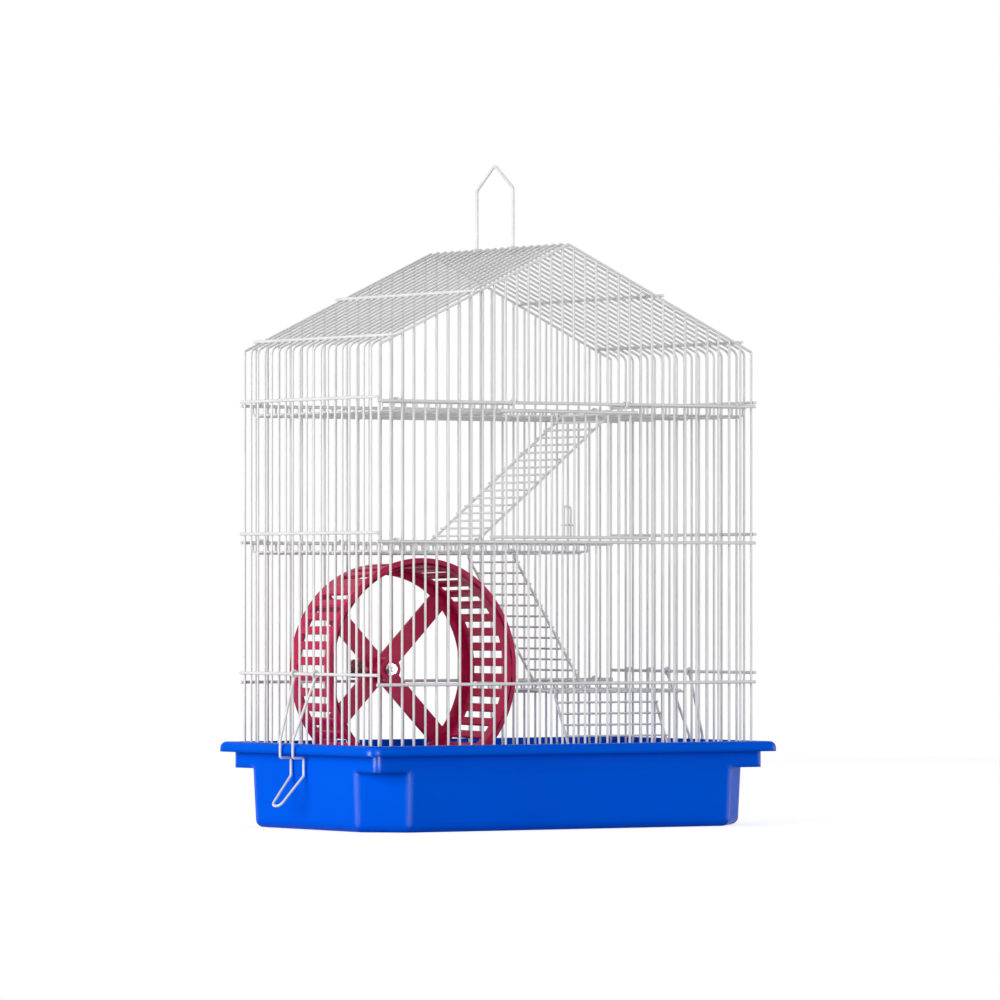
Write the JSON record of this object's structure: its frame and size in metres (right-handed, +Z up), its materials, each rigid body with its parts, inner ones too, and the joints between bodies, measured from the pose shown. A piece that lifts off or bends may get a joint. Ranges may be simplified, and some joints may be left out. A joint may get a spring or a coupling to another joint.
{
  "type": "hamster cage",
  "caption": "Gabled wire hamster cage on a plastic base tray, with wire floors and ramps inside, an exercise wheel, a front door, a carrying handle and tray clips.",
  "frame": {"origin": "middle of the tray's underside", "axes": "+Z up, -Y towards the door, +X to the right as seen from the front"},
  "size_m": [0.3862, 0.222, 0.4965],
  "materials": {
    "tray_blue": "glossy moulded plastic",
    "wire_white": "white coated wire",
    "wheel_red": "satin plastic",
    "bolt_steel": "bright zinc"
  },
  "bodies": {
    "cage": {"tray": "tray_blue", "front_panel_left": "wire_white", "front_panel_right": "wire_white", "front_panel_lower": "wire_white", "front_panel_gable": "wire_white", "back_panel": "wire_white", "left_wall": "wire_white", "right_wall": "wire_white", "roof_left": "wire_white", "roof_right": "wire_white", "ridge_rail": "wire_white", "mid_floor": "wire_white", "top_floor_left": "wire_white", "top_floor_middle": "wire_white", "top_floor_right": "wire_white", "landing": "wire_white", "axle": "bolt_steel", "axle_nut": "bolt_steel", "axle_washer": "bolt_steel", "axle_sleeve": "bolt_steel", "axle_plate_nut": "bolt_steel", "axle_plate_inner": "bolt_steel", "axle_plate_outer": "bolt_steel"},
    "wheel": {"wheel_drum": "wheel_red", "wheel_spokes": "wheel_red"},
    "handle": {"handle": "wire_white"},
    "door": {"door": "wire_white"},
    "latch": {"door_latch": "wire_white"},
    "left_clip": {"clip_left": "wire_white"},
    "right_clip": {"clip_right": "wire_white"},
    "upper_ramp": {"upper_ramp": "wire_white"},
    "lower_ramp": {"lower_ramp": "wire_white"},
    "short_ramp": {"short_ramp": "wire_white"}
  },
  "joints": [
    {"name": "wheel_spin", "type": "hinge", "parent": "cage", "child": "wheel", "pos_m": [-0.06, 0.066, 0.1175], "axis": [0, 1, 0], "continuous": true},
    {"name": "handle_swing", "type": "hinge", "parent": "cage", "child": "handle", "pos_m": [0, 0.005, 0.43123], "axis": [0, 1, 0], "range_deg": [-105, 105]},
    {"name": "door_hinge", "type": "hinge", "parent": "cage", "child": "door", "pos_m": [0, -0.0967, 0.315], "axis": [-1, 0, 0], "range_deg": [0, 110]},
    {"name": "latch_slide", "type": "slide", "parent": "door", "child": "latch", "axis": [0, 0, 1], "range_m": [-0.007, 0]},
    {"name": "clip_left_swing", "type": "hinge", "parent": "cage", "child": "left_clip", "pos_m": [-0.1672, 0.005, 0.115], "axis": [0, 1, 0], "range_deg": [0, 80]},
    {"name": "clip_right_swing", "type": "hinge", "parent": "cage", "child": "right_clip", "pos_m": [0.1672, 0.005, 0.115], "axis": [0, -1, 0], "range_deg": [0, 80]},
    {"name": "upper_ramp_lift", "type": "hinge", "parent": "cage", "child": "upper_ramp", "pos_m": [0.04, -0.055, 0.308], "axis": [0, 1, 0], "range_deg": [0, 36]},
    {"name": "lower_ramp_lift", "type": "hinge", "parent": "cage", "child": "lower_ramp", "pos_m": [0.02, 0.044, 0.2055], "axis": [0, -1, 0], "range_deg": [0, 45]},
    {"name": "short_ramp_lift", "type": "hinge", "parent": "cage", "child": "short_ramp", "pos_m": [0.09, -0.0072, 0.0998], "axis": [-1, 0, 0], "range_deg": [0, 18]}
  ]
}
